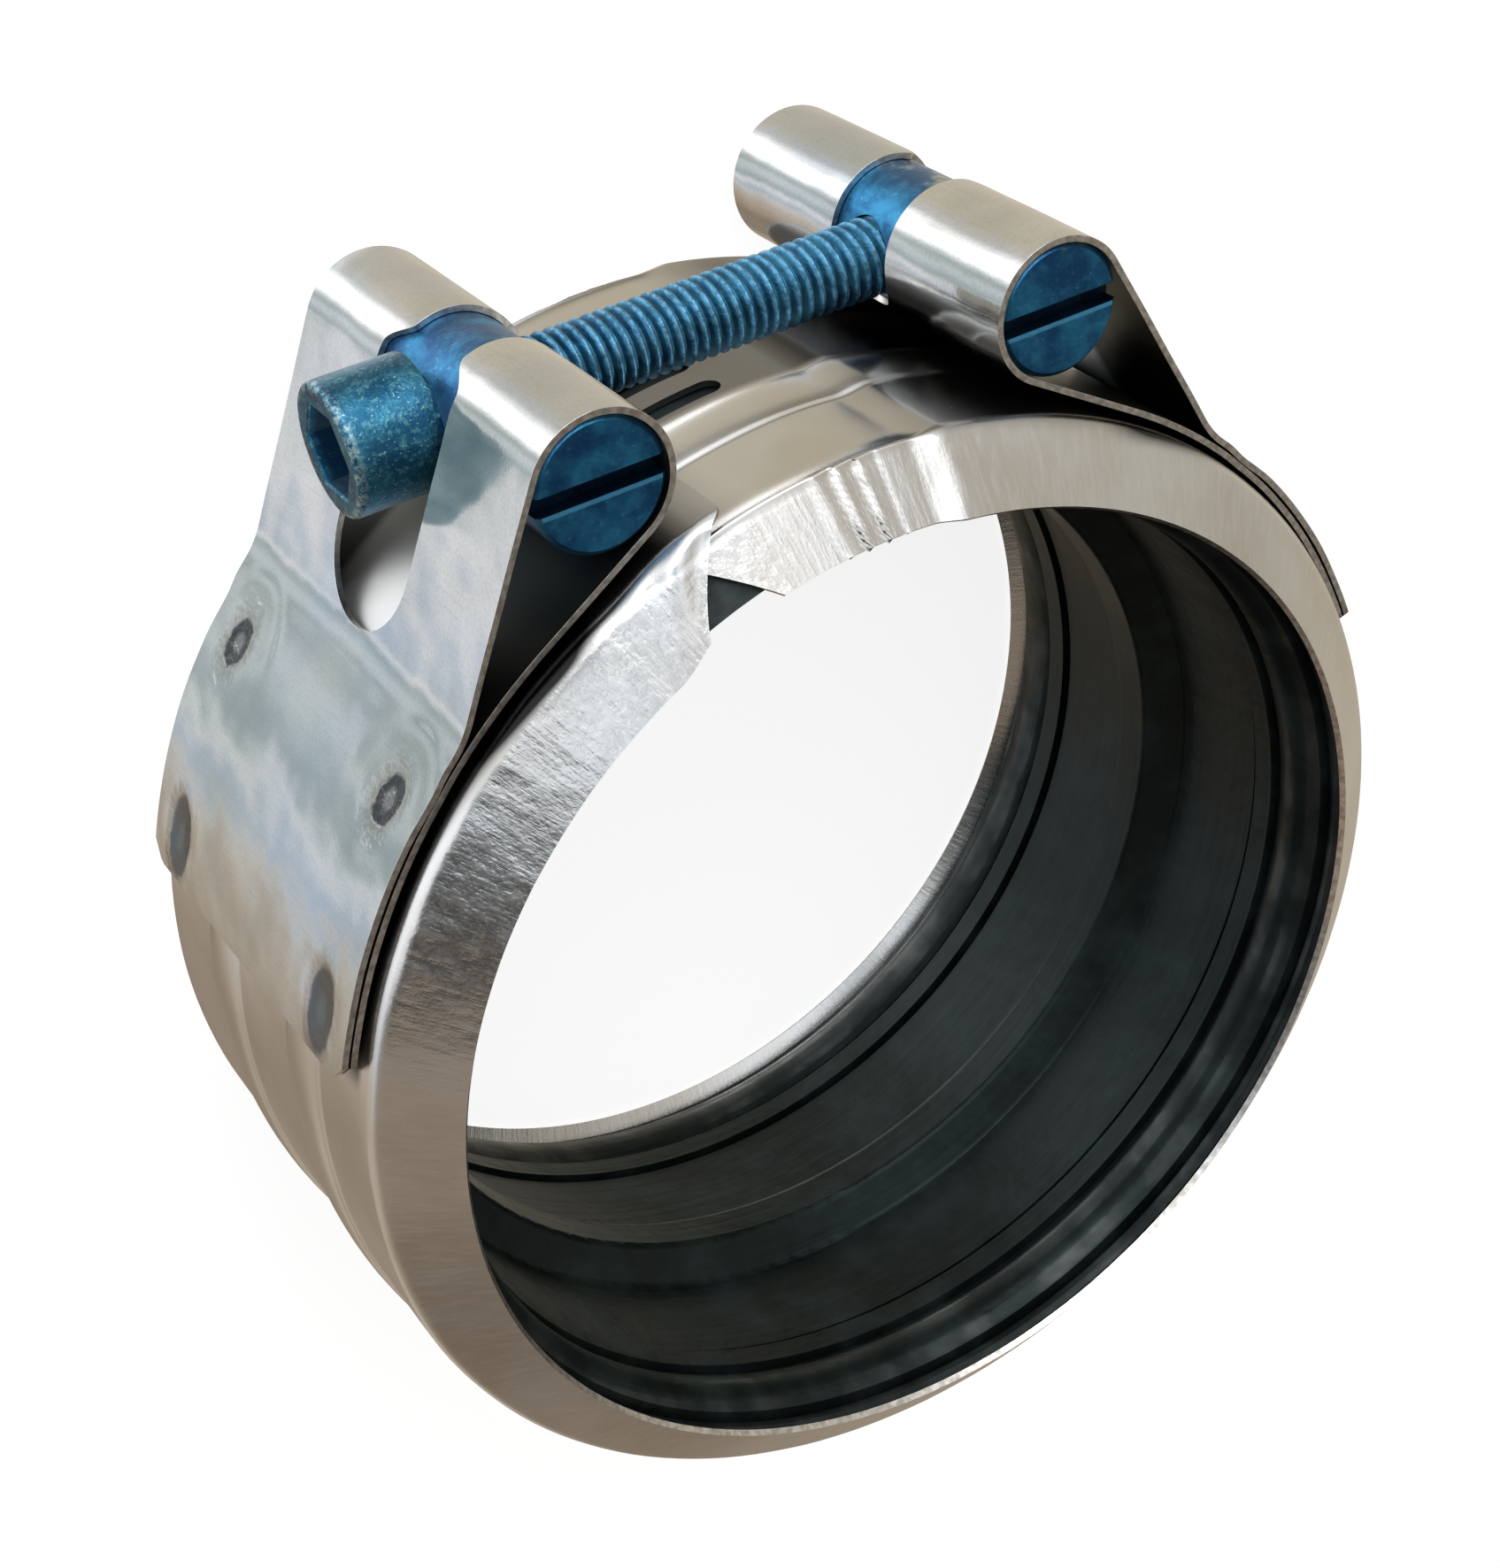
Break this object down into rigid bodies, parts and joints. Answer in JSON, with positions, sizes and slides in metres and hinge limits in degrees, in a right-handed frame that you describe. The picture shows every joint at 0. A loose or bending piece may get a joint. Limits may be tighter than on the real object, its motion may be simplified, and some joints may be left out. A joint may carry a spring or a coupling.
{
  "type": "pipe band clamp",
  "caption": "Split steel band over a rubber sleeve, with folded sheet lugs drawn together by a socket-head bolt through cross barrels, joining plain-ended pipes.",
  "frame": {"origin": "on the pipe axis, at the middle of the sleeve's central rib, half way across the band's width", "axes": "+Z along the pipe axis, -Y towards the bolt and its lugs, +X along the bolt towards its head"},
  "size_m": [0.092, 0.1008, 0.047],
  "materials": {
    "sheet": "satin stainless sheet",
    "fastener": "dark blue coated steel, scuffed",
    "rubber": "smooth moulded, slightly glossy"
  },
  "bodies": {
    "clamp": {"band": "sheet", "seal": "rubber", "head_strap": "sheet", "nut_strap": "sheet", "head_barrel": "fastener", "nut_barrel": "fastener"},
    "bolt": {"bolt": "fastener"}
  },
  "joints": [
    {"name": "bolt_turn", "type": "hinge", "parent": "clamp", "child": "bolt", "pos_m": [0, -0.0493, 0], "axis": [1, 0, 0], "continuous": true}
  ]
}
